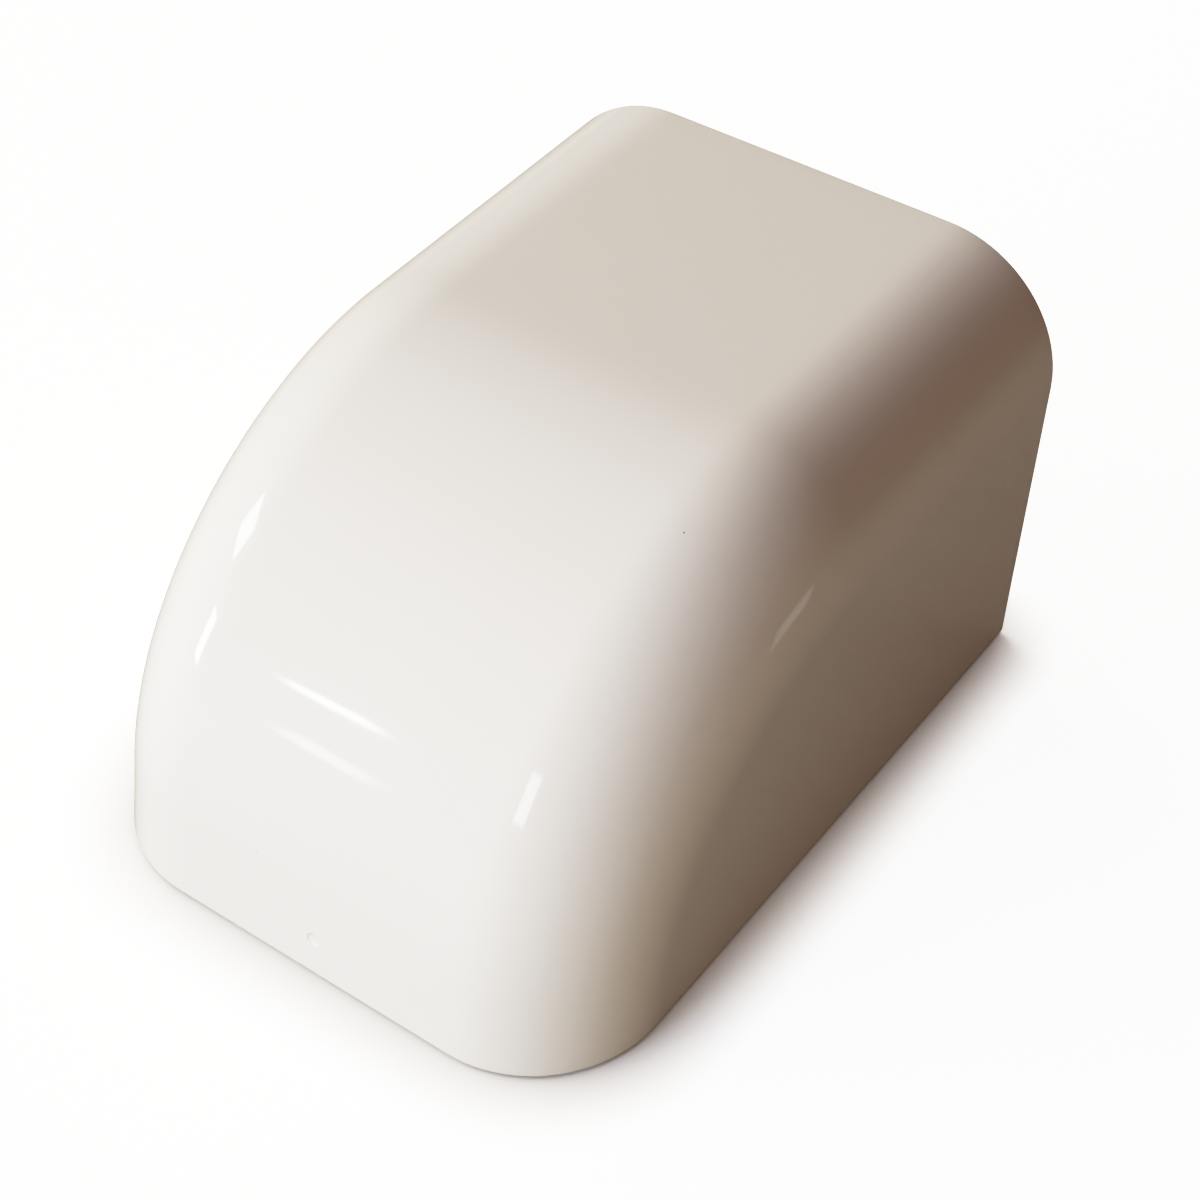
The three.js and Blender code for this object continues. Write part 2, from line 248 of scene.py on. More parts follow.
def rubber():
    """Black foot rubber with a matte skin."""
    nodes = Nodes("black_rubber")
    tint = nodes.ramp(nodes.noise(scale=400, detail=3), "Fac", [(0.4, 0.02), (0.75, 0.045)])
    nodes.join(tint, "Color", nodes.shader, "Base Color")
    rough = nodes.ramp(nodes.noise(scale=200, detail=3), "Fac", [(0.3, 0.7), (0.7, 0.9)])
    nodes.join(rough, "Color", nodes.shader, "Roughness")
    skin = nodes.noise(scale=2500, detail=2)
    bump = nodes.bump(skin, "Fac", strength=0.3, distance=0.04 * MM)
    nodes.join(bump, "Normal", nodes.shader, "Normal")
    return nodes.material


def chalk():
    """Pressed magnesium carbonate: dead matte, powdery, with pores and denser patches."""
    nodes = Nodes("pressed_chalk")
    nodes.set(Sheen_Weight=0.2, Sheen_Roughness=0.8, IOR=1.35)
    patches = [(0.3, (0.8, 0.79, 0.76)), (0.5, (0.87, 0.865, 0.845)), (0.7, (0.9, 0.895, 0.88))]
    tint = nodes.ramp(nodes.noise(scale=110, detail=8, roughness=0.65), "Fac", patches)
    nodes.join(tint, "Color", nodes.shader, "Base Color")
    rough = nodes.ramp(nodes.noise(scale=250, detail=2), "Fac", [(0.3, 0.9), (0.7, 1.0)])
    nodes.join(rough, "Color", nodes.shader, "Roughness")
    lump_noise = nodes.noise(scale=300, detail=8, roughness=0.6)
    lumps = nodes.bump(lump_noise, "Fac", strength=0.35, distance=0.4 * MM)
    grain_noise = nodes.noise(scale=3200, detail=4, roughness=0.7)
    grain = nodes.bump(grain_noise, "Fac", strength=0.4, distance=0.1 * MM, below=lumps)
    nodes.join(grain, "Normal", nodes.shader, "Normal")
    return nodes.material


# ---- Mesh helpers ----

SHARP_ANGLE = math.radians(50)
SMALL_EDGE = 0.25 * MM
WELD_DISTANCE = 0.001 * MM


def make_object(name, bm, material, smooth=True):
    mesh = bpy.data.meshes.new(name)
    bm.to_mesh(mesh)
    bm.free()
    mesh.materials.append(material)
    for polygon in mesh.polygons:
        polygon.use_smooth = smooth
    piece = bpy.data.objects.new(name, mesh)
    bpy.context.scene.collection.objects.link(piece)
    return piece


def bake_modifiers(piece):
    """Makes a piece's modifiers part of its mesh."""
    graph = bpy.context.evaluated_depsgraph_get()
    mesh = bpy.data.meshes.new_from_object(piece.evaluated_get(graph))
    piece.modifiers.clear()
    piece.data = mesh


def combine(piece, other, operation):
    """Joins or cuts piece by other, which is then removed."""
    modifier = piece.modifiers.new("combine", "BOOLEAN")
    modifier.object = other
    modifier.operation = operation
    modifier.solver = "EXACT"
    modifier.material_mode = "TRANSFER"
    bake_modifiers(piece)
    bpy.data.objects.remove(other)


def keep_flats_flat(piece):
    """Shades roundings smoothly, flat faces flat, and sharp inner corners sharp."""
    bm = bmesh.new()
    bm.from_mesh(piece.data)
    for edge in bm.edges:
        edge.smooth = edge.calc_face_angle(0) < SHARP_ANGLE
    bm.to_mesh(piece.data)
    bm.free()
    modifier = piece.modifiers.new("weighted", "WEIGHTED_NORMAL")
    modifier.keep_sharp = True
    return piece


def add_patch(bm, grid):
    """Adds a grid of points as a sheet of quads."""
    rows = [[bm.verts.new(point) for point in row] for row in grid]
    for above, below in zip(rows, rows[1:]):
        for i in range(len(above) - 1):
            bm.faces.new((above[i], above[i + 1], below[i + 1], below[i]))


def add_polygon(bm, points):
    """Adds one flat face through the points."""
    bm.faces.new([bm.verts.new(point) for point in points])


def add_box(bm, low, high):
    centre = (Vector(low) + Vector(high)) / 2
    size = Vector(high) - Vector(low)
    place = Matrix.Translation(centre) @ Matrix.Diagonal((*size, 1))
    bmesh.ops.create_cube(bm, size=1, matrix=place)


def rounded_boxes(name, boxes, radius, material):
    """Separate boxes in one object, their edges rounded."""
    bm = bmesh.new()
    for low, high in boxes:
        add_box(bm, low, high)
    bmesh.ops.bevel(bm, geom=bm.edges[:], offset=radius, segments=2, profile=0.5, affect="EDGES")
    return make_object(name, bm, material)


def close_up(bm):
    """Welds the sheets into one closed surface that faces outwards."""
    bmesh.ops.remove_doubles(bm, verts=bm.verts[:], dist=WELD_DISTANCE)
    bmesh.ops.recalc_face_normals(bm, faces=bm.faces[:])


TURN_STEPS = 48


def turned(name, profile, centre, material):
    """A round piece from (radius, height) points, closed by flat ends."""
    bm = bmesh.new()
    rings = []
    for radius, height in profile:
        angles = [2 * math.pi * i / TURN_STEPS for i in range(TURN_STEPS)]
        across = [Vector((math.cos(angle), math.sin(angle))) * radius for angle in angles]
        rings.append([(centre.x + offset.x, centre.y + offset.y, height) for offset in across])
    add_patch(bm, [ring + ring[:1] for ring in rings])
    add_polygon(bm, rings[0])
    add_polygon(bm, rings[-1])
    close_up(bm)
    return make_object(name, bm, material)


# ---- The cover ----

ALONG_ROOF = Vector((math.cos(TOP_SLOPE), math.sin(TOP_SLOPE)))
UP_NOSE = Vector((math.sin(FRONT_LEAN), math.cos(FRONT_LEAN)))
ROOF_OUT = Vector((-math.sin(TOP_SLOPE), math.cos(TOP_SLOPE)))
NOSE_OUT = Vector((-math.cos(FRONT_LEAN), math.sin(FRONT_LEAN)))
ROOF_END = Vector((COVER_HIGH.y, COVER_HIGH.z))
NOSE_BASE = Vector((COVER_LOW.y, COVER_LOW.z))
NOSE_RISE = (ROOF_END - NOSE_BASE).cross(ALONG_ROOF) / UP_NOSE.cross(ALONG_ROOF)
CORNER = NOSE_BASE + UP_NOSE * NOSE_RISE

GATE_X = 0.4 * MM
GATE_HEIGHT = 5.1 * MM
GATE_RADIUS = 0.85 * MM
GATE_FLANK = 0.3 * MM
GATE_DEPTH = 0.14 * MM
GATE_STEPS = 4

ROOF_ROWS = 14
ARC_ROWS = 72
NOSE_ROWS = 8
EDGE_COLUMNS = 22
FLAT_COLUMNS = 16


def narrowing(y, z):
    """How much the cover's sides have leaned in at a height and closed in towards the nose."""
    from_rise = math.tan(SIDE_DRAFT) * z / HALF_WIDTH
    from_nose = math.tan(PLAN_TAPER) * (COVER_HIGH.y - y) / HALF_WIDTH
    return (1 - from_rise) * (1 - from_nose)


def in_place(x, point):
    """A place on the cover, its x drawn in by the draft and the taper."""
    y, z = point
    return Vector((x * narrowing(y, z), y, z))


def profile_rows(depth, back_y):
    """The cover's side profile as (y, z) points, moved inwards by depth, from back_y to the rim."""
    roof = ROOF_END - ROOF_OUT * depth
    start = roof + ALONG_ROOF * ((back_y - roof.x) / ALONG_ROOF.x)
    arc = []
    for i in range(ARC_ROWS + 1):
        angle = i / ARC_ROWS * math.pi / 2
        point = CORNER + ALONG_ROOF * NOSE_DEPTH * (1 - math.sin(angle))
        point -= UP_NOSE * NOSE_DROP * (1 - math.cos(angle))
        tangent = -ALONG_ROOF * NOSE_DEPTH * math.cos(angle) - UP_NOSE * NOSE_DROP * math.sin(angle)
        outward = Vector((tangent.y, -tangent.x)).normalized()
        arc.append(point - outward * depth)
    end = arc[-1] - UP_NOSE * ((arc[-1].y - COVER_LOW.z) / UP_NOSE.y)
    roof_rows = [start.lerp(arc[0], i / ROOF_ROWS) for i in range(ROOF_ROWS)]
    nose_rows = [arc[-1].lerp(end, i / NOSE_ROWS) for i in range(1, NOSE_ROWS + 1)]
    return roof_rows + arc + nose_rows


def cross_columns(inset):
    """(x, depth) pairs across the cover: a rounded edge, the flat middle, a rounded edge."""
    edge = EDGE_RADIUS - inset
    flat = HALF_WIDTH - EDGE_RADIUS
    right = []
    for i in range(EDGE_COLUMNS + 1):
        angle = i / EDGE_COLUMNS * math.pi / 2
        right.append((flat + edge * math.sin(angle), inset + edge * (1 - math.cos(angle))))
    middle = [(flat * (2 * i / FLAT_COLUMNS - 1), inset) for i in range(1, FLAT_COLUMNS)]
    left = [(-x, depth) for x, depth in reversed(right)]
    return left + middle + right


def side_wall(curve, back_y):
    """A flat side wall as a grid of (y, z) points, between the rounded edge and the base.

    The curve's first half is the grid's top and its second half the grid's front.
    """
    half = ROOF_ROWS + ARC_ROWS // 2
    top, front = curve[:half + 1], curve[half:]
    foot = Vector((back_y, COVER_LOW.z))
    back = [top[0].lerp(foot, i / (len(front) - 1)) for i in range(len(front))]
    bottom = [foot.lerp(front[-1], i / half) for i in range(half + 1)]
    grid = []
    for j in range(len(front)):
        v = j / (len(front) - 1)
        row = []
        for i in range(half + 1):
            u = i / half
            across = back[j].lerp(front[j], u)
            down = top[i].lerp(bottom[i], v)
            corners = top[0].lerp(top[-1], u).lerp(bottom[0].lerp(bottom[-1], u), v)
            row.append(across + down - corners)
        grid.append(row)
    return grid


def cover_skin(bm, inset, back_y):
    """Adds the cover's outer or inner face. Returns its back outline and its rim, left to right."""
    columns = [(x, profile_rows(depth, back_y)) for x, depth in cross_columns(inset)]
    row_count = len(columns[0][1])
    grid = [[in_place(x, rows[i]) for x, rows in columns] for i in range(row_count)]
    add_patch(bm, grid)
    wall = side_wall(profile_rows(EDGE_RADIUS, back_y), back_y)
    half = HALF_WIDTH - inset
    for side in (-1, 1):
        add_patch(bm, [[in_place(side * half, point) for point in row] for row in wall])
    left_back = [in_place(-half, row[0]) for row in reversed(wall)]
    right_back = [in_place(half, row[0]) for row in wall]
    left_base = [in_place(-half, point) for point in wall[-1]]
    right_base = [in_place(half, point) for point in reversed(wall[-1])]
    outline = left_back + grid[0][1:-1] + right_back
    rim = left_base + grid[-1][1:-1] + right_base
    return outline, rim


def cover_ribs():
    """The ribs' boxes, rooted halfway into the wall."""
    root = COVER_WALL / 2
    boxes = []
    for y in SIDE_RIB_YS:
        wall_x = HALF_WIDTH * narrowing(y, RIB_BOTTOM)
        inner, outer = wall_x - COVER_WALL - RIB_REACH, wall_x - root
        for side in (-1, 1):
            xs = sorted((side * inner, side * outer))
            low = (xs[0], y - RIB_WIDTH / 2, RIB_BOTTOM)
            boxes.append((low, (xs[1], y + RIB_WIDTH / 2, COVER_HIGH.z)))
    for x in BACK_RIB_XS:
        low = (x - RIB_WIDTH / 2, COVER_HIGH.y - COVER_WALL - RIB_REACH, RIB_BOTTOM)
        boxes.append((low, (x + RIB_WIDTH / 2, COVER_HIGH.y - root, COVER_HIGH.z)))
    return boxes


def solid_core(name, inset, material):
    """The cover's form, filled, with its skin moved inwards by inset."""
    bm = bmesh.new()
    outline, rim = cover_skin(bm, inset, COVER_HIGH.y - inset)
    add_polygon(bm, outline)
    add_polygon(bm, rim)
    close_up(bm)
    return make_object(name, bm, material)


def gate_mark(material):
    """Cuts the moulding gate's witness low on the nose: a very shallow dimple with a soft edge."""
    on_nose = NOSE_BASE + UP_NOSE * (GATE_HEIGHT - COVER_LOW.z)
    inward = Vector((0, -NOSE_OUT.x, -NOSE_OUT.y))
    turn = inward.to_track_quat("Z", "Y").to_matrix().to_4x4()
    place = Matrix.Translation((GATE_X, on_nose.x, on_nose.y)) @ turn
    profile = [(GATE_RADIUS, -GATE_DEPTH), (GATE_RADIUS, 0)]
    for i in range(1, GATE_STEPS + 1):
        part = i / GATE_STEPS
        down = (1 - math.cos(part * math.pi)) / 2
        profile.append((GATE_RADIUS - part * GATE_FLANK, down * GATE_DEPTH))
    gate = turned("gate", profile, Vector((0, 0)), material)
    gate.data.transform(place)
    return gate


def make_cover(outer_material, inner_material):
    """The shell: outer and inner faces joined at a rounded rim, ribs inside, the gate mark."""
    bm = bmesh.new()
    outer_outline, outer_rim = cover_skin(bm, 0, COVER_HIGH.y)
    add_polygon(bm, outer_outline)
    outer_faces = set(bm.faces)
    inner_outline, inner_rim = cover_skin(bm, COVER_WALL, COVER_HIGH.y - COVER_WALL)
    add_polygon(bm, inner_outline)
    for face in set(bm.faces) - outer_faces:
        face.material_index = 1
    add_patch(bm, [outer_rim + outer_rim[:1], inner_rim + inner_rim[:1]])
    close_up(bm)
    sharp = [edge for edge in bm.edges if edge.calc_face_angle_signed(0) > SHARP_ANGLE]
    bmesh.ops.bevel(bm, geom=sharp, offset=RIM_ROUND, segments=3, profile=0.5, affect="EDGES")
    cover = make_object("cover_shell", bm, outer_material)
    cover.data.materials.append(inner_material)
    ribs = rounded_boxes("ribs", cover_ribs(), SMALL_EDGE, inner_material)
    combine(ribs, solid_core("core", COVER_WALL / 2, inner_material), "INTERSECT")
    combine(cover, ribs, "UNION")
    combine(cover, gate_mark(outer_material), "DIFFERENCE")
    return keep_flats_flat(cover)


# ---- Pieces that follow the cover's plan ----

CORNER_STEPS = 24
SMALL_CORNER_STEPS = 6


def arc_points(x, y, radius, start, steps):
    """A quarter turn anticlockwise about (x, y), from start in degrees."""
    angles = [math.radians(start + 90 * i / steps) for i in range(steps + 1)]
    return [(x + radius * math.cos(angle), y + radius * math.sin(angle)) for angle in angles]


def plan_outline(inset, level):
    """The cover's plan at a height, moved inwards by inset: rounded at the nose, square behind."""
    front = COVER_LOW.y + math.tan(FRONT_LEAN) * (level - COVER_LOW.z) + inset
    back = COVER_HIGH.y - inset - BACK_CORNER
    radius = EDGE_RADIUS - inset
    front_half = HALF_WIDTH * narrowing(front + radius, level) - inset - radius
    back_half = HALF_WIDTH * narrowing(back, level) - inset - BACK_CORNER
    points = arc_points(back_half, back, BACK_CORNER, 0, SMALL_CORNER_STEPS)
    points += arc_points(-back_half, back, BACK_CORNER, 90, SMALL_CORNER_STEPS)
    points += arc_points(-front_half, front + radius, radius, 180, CORNER_STEPS)
    points += arc_points(front_half, front + radius, radius, 270, CORNER_STEPS)
    return points


def plan_ring(inset, height, level):
    """The plan's outline at a level, laid at a height."""
    return [(x, y, height) for x, y in plan_outline(inset, level)]


def rounded(corners, radius, steps=4):
    """A closed outline with its corners rounded, each curve starting radius before the corner."""
    result = []
    for i, corner in enumerate(corners):
        here = Vector(corner)
        before = here + (Vector(corners[i - 1]) - here).normalized() * radius
        after = here + (Vector(corners[(i + 1) % len(corners)]) - here).normalized() * radius
        for j in range(steps + 1):
            part = j / steps
            result.append(before.lerp(here, part).lerp(here.lerp(after, part), part))
    return result


def swept_ring(name, corners, radius, level, material):
    """A closed section of (inset, height) corners, rounded and carried round the plan."""
    bm = bmesh.new()
    section = rounded(corners, radius)
    rings = [plan_ring(inset, height, level) for inset, height in section + section[:1]]
    add_patch(bm, [ring + ring[:1] for ring in rings])
    close_up(bm)
    return make_object(name, bm, material)


def plan_plate(name, inset, low, high, radius, material):
    """A flat plate of the plan's outline, its edges rounded."""
    bm = bmesh.new()
    middle = inset + 2 * radius
    section = rounded([(middle, low), (inset, low), (inset, high), (middle, high)], radius)
    whole_edge = [point for point in section if point.x <= inset + radius]
    rings = [plan_ring(point.x, point.y, (low + high) / 2) for point in whole_edge]
    add_patch(bm, [ring + ring[:1] for ring in rings])
    add_polygon(bm, rings[0])
    add_polygon(bm, rings[-1])
    close_up(bm)
    return make_object(name, bm, material)


# ---- The tray, its seal and its feet ----

TRAY_EDGE = 0.3 * MM
FOOT_NODES = ["foot_front_left", "foot_front_right", "foot_rear_left", "foot_rear_right"]
FOOT_POCKET_CLEARANCE = 0.3 * MM
FOOT_POCKET_START = -1 * MM
FOOT_EDGE = 0.25 * MM
FOOT_EDGE_STEPS = 5
FOOT_DISH = 0.15 * MM
SEAL_BEAD = 0.7 * MM
SEAL_LIP = 0.5 * MM
SEAL_EDGE = 0.12 * MM


def seat_ribs():
    """Short ribs from the lip to the block's sides, and the wall in front of the block."""
    side = (BLOCK_HIGH.x - BLOCK_LOW.x) / 2
    middle_y = (BLOCK_LOW.y + BLOCK_HIGH.y) / 2
    root = LIP_WALL / 2
    boxes = []
    for y in (middle_y - 2 * side / 3, middle_y + 2 * side / 3):
        lip_x = HALF_WIDTH * narrowing(y, TRAY_HIGH.z) - LIP_INSET - root
        for sign in (-1, 1):
            xs = sorted((sign * (side + SEAT_CLEARANCE), sign * lip_x))
            low = (xs[0], y - SEAT_RIB_WIDTH / 2, FLOOR_TOP - root)
            boxes.append((low, (xs[1], y + SEAT_RIB_WIDTH / 2, TRAY_HIGH.z)))
    wall_y = BLOCK_LOW.y - SEAT_CLEARANCE
    wall_x = HALF_WIDTH * narrowing(wall_y, TRAY_HIGH.z) - LIP_INSET - root
    boxes.append(((-wall_x, wall_y - LIP_WALL, FLOOR_TOP - root), (wall_x, wall_y, TRAY_HIGH.z)))
    return boxes


def make_tray(material):
    """A floor plate with a grooved lip, the block's seat, and pockets for the feet."""
    groove_low, groove_high = SEAL_LOW.z - TOUCH_GAP, SEAL_HIGH.z + TOUCH_GAP
    groove, inner = LIP_INSET + SEAL_GROOVE, LIP_INSET + LIP_WALL
    root = FLOOR_TOP - LIP_WALL / 2
    cove = inner + LIP_WALL / 2
    lip = [
        (LIP_INSET, root), (LIP_INSET, groove_low), (groove, groove_low), (groove, groove_high),
        (LIP_INSET, groove_high), (LIP_INSET, TRAY_HIGH.z), (inner, TRAY_HIGH.z),
        (inner, FLOOR_TOP), (cove, FLOOR_TOP - TRAY_EDGE), (cove, root),
    ]
    tray = plan_plate("tray_moulding", FLANGE_INSET, TRAY_LOW.z, FLOOR_TOP, TRAY_EDGE, material)
    combine(tray, swept_ring("lip", lip, SMALL_EDGE, SEAL_HIGH.z, material), "UNION")
    combine(tray, rounded_boxes("seat_ribs", seat_ribs(), TRAY_EDGE, material), "UNION")
    for node in FOOT_NODES:
        low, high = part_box(node)
        radius = (high.x - low.x) / 2 + FOOT_POCKET_CLEARANCE
        profile = [(radius, FOOT_POCKET_START), (radius, high.z + TOUCH_GAP)]
        combine(tray, turned("pocket", profile, (low + high) / 2, material), "DIFFERENCE")
    return keep_flats_flat(tray)


def make_seal(material):
    """A bead that sits in the tray's groove, with two thin lips that wipe the cover's wall."""
    seat = LIP_INSET + SEAL_GROOVE - TOUCH_GAP
    bead = LIP_INSET - SEAL_BEAD
    tip = COVER_WALL + TOUCH_GAP
    low, high = SEAL_LOW.z, SEAL_HIGH.z
    middle = (low + high) / 2
    lip = SEAL_LIP
    section = [
        (seat, low), (bead, low), (tip, low + lip), (tip, low + 1.7 * lip),
        (bead, middle - lip / 2), (bead, middle + lip / 2),
        (tip, high - lip), (tip, high - lip / 2), (bead, high), (seat, high),
    ]
    return swept_ring("dust_seal", section, SEAL_EDGE, high, material)


def make_foot(name, node, material):
    """A round foot with a dished face and a rounded edge."""
    low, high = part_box(node)
    radius = (high.x - low.x) / 2
    profile = [(radius / 2, FOOT_DISH), (0.6 * radius, FOOT_DISH / 2), (0.7 * radius, 0)]
    for i in range(FOOT_EDGE_STEPS + 1):
        angle = i / FOOT_EDGE_STEPS * math.pi / 2
        from_side = FOOT_EDGE * (1 - math.sin(angle))
        profile.append((radius - from_side, FOOT_EDGE * (1 - math.cos(angle))))
    profile += [(radius, high.z - FOOT_EDGE), (radius - FOOT_EDGE / 2, high.z)]
    return turned(name, profile, (low + high) / 2, material)


# ---- The dust grid ----

GRID_PLATE = 1.6 * MM
GRID_SLOT_COUNT = 8
GRID_SLOT_WIDTH = 3 * MM
GRID_SLOT_LENGTH = 44 * MM
GRID_RUNNER_WIDTH = 1.8 * MM
GRID_RUNNER_SPACING = 20 * MM
GRID_EDGE = 0.35 * MM


def make_grid(material):
    """A slotted plate that stands on three runners."""
    low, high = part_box("dust_grid")
    pitch = (high.x - low.x) / GRID_SLOT_COUNT
    band = (high.y - low.y - GRID_SLOT_LENGTH) / 2
    xs = [low.x]
    for i in range(GRID_SLOT_COUNT):
        middle = low.x + (i + 0.5) * pitch
        xs += [middle - GRID_SLOT_WIDTH / 2, middle + GRID_SLOT_WIDTH / 2]
    xs.append(high.x)
    ys = [low.y, low.y + band, high.y - band, high.y]
    bm = bmesh.new()
    verts = [[bm.verts.new((x, y, high.z)) for x in xs] for y in ys]
    for j in range(len(ys) - 1):
        for i in range(len(xs) - 1):
            is_slot = j == 1 and i % 2 == 1
            if not is_slot:
                bm.faces.new((verts[j][i], verts[j][i + 1], verts[j + 1][i + 1], verts[j + 1][i]))
    made = bmesh.ops.extrude_face_region(bm, geom=bm.faces[:])["geom"]
    lower = [item for item in made if isinstance(item, bmesh.types.BMVert)]
    bmesh.ops.translate(bm, verts=lower, vec=(0, 0, -GRID_PLATE))
    bmesh.ops.recalc_face_normals(bm, faces=bm.faces[:])
    sharp = [edge for edge in bm.edges if edge.calc_face_angle(0) > SHARP_ANGLE]
    bmesh.ops.bevel(bm, geom=sharp, offset=GRID_EDGE, segments=3, profile=0.5, affect="EDGES")
    grid = make_object("grid_plate", bm, material)
    runners = []
    for step in (-1, 0, 1):
        y = (low.y + high.y) / 2 + step * GRID_RUNNER_SPACING
        start = (low.x + GRID_EDGE, y - GRID_RUNNER_WIDTH / 2, low.z)
        end = (high.x - GRID_EDGE, y + GRID_RUNNER_WIDTH / 2, high.z - GRID_PLATE / 2)
        runners.append((start, end))
    combine(grid, rounded_boxes("runners", runners, SMALL_EDGE, material), "UNION")
    return keep_flats_flat(grid)


# ---- Chalk and foam ----

CHALK_CELL = 0.9 * MM
CHALK_EDGE = 0.9 * MM
CHIP_REACH = 1.1 * MM
CHIP_DEPTH = 0.6 * MM
CHIP_SHARE = 0.25
FACE_UNEVENNESS = 0.06 * MM
ROUGH_SCALE = 260
BROAD_SCALE = 55
CRUMB_SEED = 11
CRUMB_COUNT = 90
CRUMB_SMALLEST = 0.25 * MM
CRUMB_GROWTH = 1.1 * MM
CRUMB_FORWARD = 15 * MM
CRUMB_SIDEWAYS = 20 * MM
CRUMB_BUMPS = 0.35
FOAM_EDGE = 2.5 * MM
FOAM_CELL = 1.0 * MM
FOAM_SWELL = 0.02
FOAM_CROWN = 0.5 * MM
FOAM_UNEVENNESS = 0.05 * MM
FOAM_SCALE = 300


def spaced(low, high, step, edge):
    """Places from low to high, a step apart, with three closer ones inside each end."""
    count = round((high - low - 2 * edge) / step)
    start = [low, low + edge / 3, low + 2 * edge / 3]
    middle = [low + edge + (high - low - 2 * edge) * i / count for i in range(count + 1)]
    return start + middle + [low + high - place for place in reversed(start)]


def lattice_box(bm, low, high, step, edge):
    """A box of small faces, finer along its edges."""
    xs, ys, zs = (spaced(low[i], high[i], step, edge) for i in range(3))
    for z in (low[2], high[2]):
        add_patch(bm, [[(x, y, z) for x in xs] for y in ys])
    for y in (low[1], high[1]):
        add_patch(bm, [[(x, y, z) for x in xs] for z in zs])
    for x in (low[0], high[0]):
        add_patch(bm, [[(x, y, z) for y in ys] for z in zs])
    close_up(bm)


def outward_from_core(point, low, high, edge):
    """The nearest point of the box shrunk by edge, and the way out from it through point."""
    core = Vector([min(max(point[i], low[i] + edge), high[i] - edge) for i in range(3)])
    return core, (point - core).normalized()


def edge_distance(point, low, high):
    """How far a point on a box's face is from the nearest edge and from the nearest corner."""
    gaps = sorted(min(point[i] - low[i], high[i] - point[i]) for i in range(3))
    return gaps[1], gaps[2]


def make_chalk(material):
    """A pressed block: slightly uneven faces, broken edges and knocked corners."""
    bm = bmesh.new()
    lattice_box(bm, BLOCK_LOW, BLOCK_HIGH, CHALK_CELL, CHALK_EDGE)
    for vert in bm.verts:
        to_edge, to_corner = edge_distance(vert.co, BLOCK_LOW, BLOCK_HIGH)
        core, outward = outward_from_core(vert.co, BLOCK_LOW, BLOCK_HIGH, CHALK_EDGE)
        rough = noise.fractal(vert.co * ROUGH_SCALE, 0.8, 2.2, 4)
        broad = noise.fractal(vert.co * BROAD_SCALE, 1.0, 2.0, 3)
        broken = max(0.0, CHIP_SHARE + 0.8 * broad + 0.5 * rough)
        chip = broken * math.exp(-to_edge / CHIP_REACH)
        knock = 1 + 1.5 * math.exp(-to_corner / (3 * CHIP_REACH))
        depth = CHIP_DEPTH * chip * knock + FACE_UNEVENNESS * (1 + rough)
        vert.co = core + outward * (CHALK_EDGE - depth)
    return make_object("pressed_chalk", bm, material)


def make_crumbs(material):
    """Crumbs broken off the block, lying in the well in front of it."""
    random.seed(CRUMB_SEED)
    bm = bmesh.new()
    wall_y = BLOCK_LOW.y - SEAT_CLEARANCE - LIP_WALL
    for _ in range(CRUMB_COUNT):
        size = CRUMB_SMALLEST + CRUMB_GROWTH * random.random() ** 4
        y = wall_y - size - CRUMB_FORWARD * random.random() ** 1.4
        x = CRUMB_SIDEWAYS * random.uniform(-1, 1)
        crumb = bmesh.ops.create_icosphere(bm, subdivisions=2, radius=size)["verts"]
        across, along, up = (0.8, 1.3), (0.8, 1.3), (0.5, 0.8)
        stretch = Vector([random.uniform(*limits) for limits in (across, along, up)])
        turn = Matrix.Rotation(random.uniform(0, math.pi), 3, "Z")
        shift = Vector((random.random(), random.random(), random.random())) * 10
        for vert in crumb:
            bumpy = 1 + CRUMB_BUMPS * noise.noise(vert.co / size * 1.1 + shift)
            vert.co = turn @ (vert.co * stretch) * bumpy
        drop = min(vert.co.z for vert in crumb)
        for vert in crumb:
            vert.co += Vector((x, y, FLOOR_TOP - drop))
    return make_object("chalk_crumbs", bm, material, smooth=False)


def ceiling_height(y):
    """Height of the cover's inner face over the middle of the case."""
    roof_start = CORNER.x + ALONG_ROOF.x * NOSE_DEPTH
    roof = COVER_HIGH.z - COVER_WALL - math.tan(TOP_SLOPE) * (COVER_HIGH.y - y)
    past = max(0, (roof_start - y) / NOSE_DEPTH)
    return roof - NOSE_DROP * (1 - math.sqrt(1 - past * past))


def make_foam(material):
    """A soft pad under the roof: round edges, sides that swell a little, a gently crowned face."""
    low, high = PAD_LOW, PAD_HIGH
    half = (high.x - low.x) / 2
    middle_y = (low.y + high.y) / 2
    bm = bmesh.new()
    lattice_box(bm, low, high, FOAM_CELL, FOAM_EDGE)
    for vert in bm.verts:
        core, outward = outward_from_core(vert.co, low, high, FOAM_EDGE)
        soft = core + outward * FOAM_EDGE
        part = (soft.z - low.z) / (high.z - low.z)
        swell = FOAM_SWELL * math.sin(math.pi * part)
        away = max(abs(soft.x), abs(soft.y - middle_y)) / half
        crown = FOAM_CROWN * min(1, away) ** 4
        top = ceiling_height(soft.y) - TOUCH_GAP / 3
        bottom = low.z + crown
        soft.x *= 1 + swell
        soft.y = middle_y + (soft.y - middle_y) * (1 + swell)
        uneven = FOAM_UNEVENNESS * noise.noise(soft * FOAM_SCALE)
        soft.z = bottom + (top - bottom) * part + uneven
        vert.co = soft
    return make_object("foam_pad", bm, material)


# ---- Camera, floor and light ----

CAMERA_AZIMUTH = math.radians(32.15)
CAMERA_ELEVATION = math.radians(42.54)
CAMERA_ROLL = math.radians(3.57)
CAMERA_DISTANCE = 0.2515
CAMERA_SIDE_AIM = 3.65 * MM
CAMERA_AIM_HEIGHT = 19.5 * MM
CAMERA_LENS = 69.0
FULL_FRAME_WIDTH = 36.0
CAMERA_NEAR = 10 * MM


